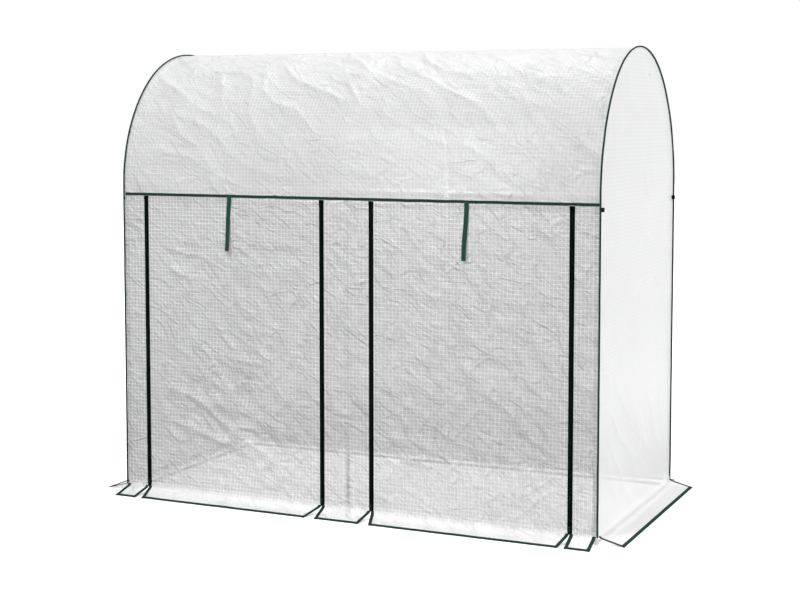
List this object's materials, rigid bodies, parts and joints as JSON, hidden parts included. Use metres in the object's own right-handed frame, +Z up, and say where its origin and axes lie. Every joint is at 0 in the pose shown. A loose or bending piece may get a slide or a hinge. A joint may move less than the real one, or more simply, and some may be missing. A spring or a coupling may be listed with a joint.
{
  "type": "tunnel greenhouse",
  "caption": "Walk-in tunnel greenhouse: white tube frame under a netted translucent film cover with dark green bindings, ground flaps, zipped roll-up doors and tie straps.",
  "frame": {"origin": "on the ground, under the middle of the footprint with its ground flaps", "axes": "+X along the front to the right, +Y from the front to the rear, +Z up"},
  "size_m": [2.2, 1.2, 1.796],
  "materials": {
    "frame_tube": "satin white coat",
    "connector": "matte white",
    "end_plug": "matte black",
    "film": "soft translucent film with a square net in it",
    "binding": "dark green woven tape",
    "zip": "near-black green tape",
    "slider": "dark green coat",
    "pull_tab": "dark green coat",
    "strap": "green webbing"
  },
  "bodies": {
    "frame_and_cover": {"eave_centre_connectors": "connector", "eave_corner_connectors": "connector", "eave_end_plugs": "end_plug", "end_base_rails": "frame_tube", "front_arch_centre": "frame_tube", "front_arch_left": "frame_tube", "front_arch_right": "frame_tube", "front_base_corner_connectors": "connector", "front_centre_foot": "connector", "front_eave_binding": "binding", "front_eave_rails": "frame_tube", "front_leg_centre": "frame_tube", "front_leg_left": "frame_tube", "front_leg_right": "frame_tube", "left_door_strip_zips": "zip", "left_end_hem": "binding", "left_end_panel": "film", "left_end_piping": "binding", "left_strip": "film", "middle_strip": "film", "rear_arch_centre": "frame_tube", "rear_arch_left": "frame_tube", "rear_arch_right": "frame_tube", "rear_base_centre_connector": "connector", "rear_base_corner_connectors": "connector", "rear_base_rails": "frame_tube", "rear_eave_rails": "frame_tube", "rear_hem": "binding", "rear_leg_centre": "frame_tube", "rear_leg_left": "frame_tube", "rear_leg_right": "frame_tube", "rear_wall": "film", "ridge_connectors": "connector", "ridge_rails": "frame_tube", "right_door_strip_zips": "zip", "right_end_hem": "binding", "right_end_panel": "film", "right_end_piping": "binding", "right_strip": "film", "roof_sheet": "film", "strip_hems": "binding"},
    "left_door": {"left_door": "film", "left_door_flap": "film", "left_door_hem": "binding", "left_door_zips": "zip"},
    "right_door": {"right_door": "film", "right_door_flap": "film", "right_door_hem": "binding", "right_door_zips": "zip"},
    "left_outer_slider": {"left_outer_slider": "slider"},
    "left_outer_pull_tab": {"left_outer_pull_tab": "pull_tab"},
    "left_inner_slider": {"left_inner_slider": "slider"},
    "left_inner_pull_tab": {"left_inner_pull_tab": "pull_tab"},
    "right_inner_slider": {"right_inner_slider": "slider"},
    "right_inner_pull_tab": {"right_inner_pull_tab": "pull_tab"},
    "right_outer_slider": {"right_outer_slider": "slider"},
    "right_outer_pull_tab": {"right_outer_pull_tab": "pull_tab"},
    "left_strap": {"left_strap": "strap"},
    "right_strap": {"right_strap": "strap"}
  },
  "joints": [
    {"name": "left_door_lift", "type": "slide", "parent": "frame_and_cover", "child": "left_door", "axis": [0, 0, 1], "range_m": [0, 1.05], "deforming": ["left_door", "left_door_flap", "left_door_hem", "left_door_zips"]},
    {"name": "right_door_lift", "type": "slide", "parent": "frame_and_cover", "child": "right_door", "axis": [0, 0, 1], "range_m": [0, 1.05], "deforming": ["right_door", "right_door_flap", "right_door_hem", "right_door_zips"]},
    {"name": "left_outer_slider_run", "type": "slide", "parent": "frame_and_cover", "child": "left_outer_slider", "axis": [0, 0, 1], "range_m": [0, 1.14]},
    {"name": "left_outer_pull_tab_swing", "type": "hinge", "parent": "left_outer_slider", "child": "left_outer_pull_tab", "pos_m": [-0.897, -0.5075, 0.0541], "axis": [-1, 0, 0], "range_deg": [0, 150]},
    {"name": "left_inner_slider_run", "type": "slide", "parent": "frame_and_cover", "child": "left_inner_slider", "axis": [0, 0, 1], "range_m": [0, 1.14]},
    {"name": "left_inner_pull_tab_swing", "type": "hinge", "parent": "left_inner_slider", "child": "left_inner_pull_tab", "pos_m": [-0.105, -0.5075, 0.0541], "axis": [-1, 0, 0], "range_deg": [0, 150]},
    {"name": "right_inner_slider_run", "type": "slide", "parent": "frame_and_cover", "child": "right_inner_slider", "axis": [0, 0, 1], "range_m": [0, 1.14]},
    {"name": "right_inner_pull_tab_swing", "type": "hinge", "parent": "right_inner_slider", "child": "right_inner_pull_tab", "pos_m": [0.105, -0.5075, 0.0541], "axis": [-1, 0, 0], "range_deg": [0, 150]},
    {"name": "right_outer_slider_run", "type": "slide", "parent": "frame_and_cover", "child": "right_outer_slider", "axis": [0, 0, 1], "range_m": [0, 1.14]},
    {"name": "right_outer_pull_tab_swing", "type": "hinge", "parent": "right_outer_slider", "child": "right_outer_pull_tab", "pos_m": [0.897, -0.5075, 0.0541], "axis": [-1, 0, 0], "range_deg": [0, 150]},
    {"name": "left_strap_swing", "type": "hinge", "parent": "frame_and_cover", "child": "left_strap", "pos_m": [-0.508, -0.50345, 1.21725], "axis": [-1, 0, 0], "range_deg": [0, 150]},
    {"name": "right_strap_swing", "type": "hinge", "parent": "frame_and_cover", "child": "right_strap", "pos_m": [0.494, -0.50345, 1.21725], "axis": [-1, 0, 0], "range_deg": [0, 150]}
  ],
  "couplings": [
    {"joint": "left_outer_slider_run", "follows": "left_door_lift", "ratio": 1.085},
    {"joint": "left_inner_slider_run", "follows": "left_door_lift", "ratio": 1.085},
    {"joint": "right_inner_slider_run", "follows": "right_door_lift", "ratio": 1.085},
    {"joint": "right_outer_slider_run", "follows": "right_door_lift", "ratio": 1.085}
  ]
}
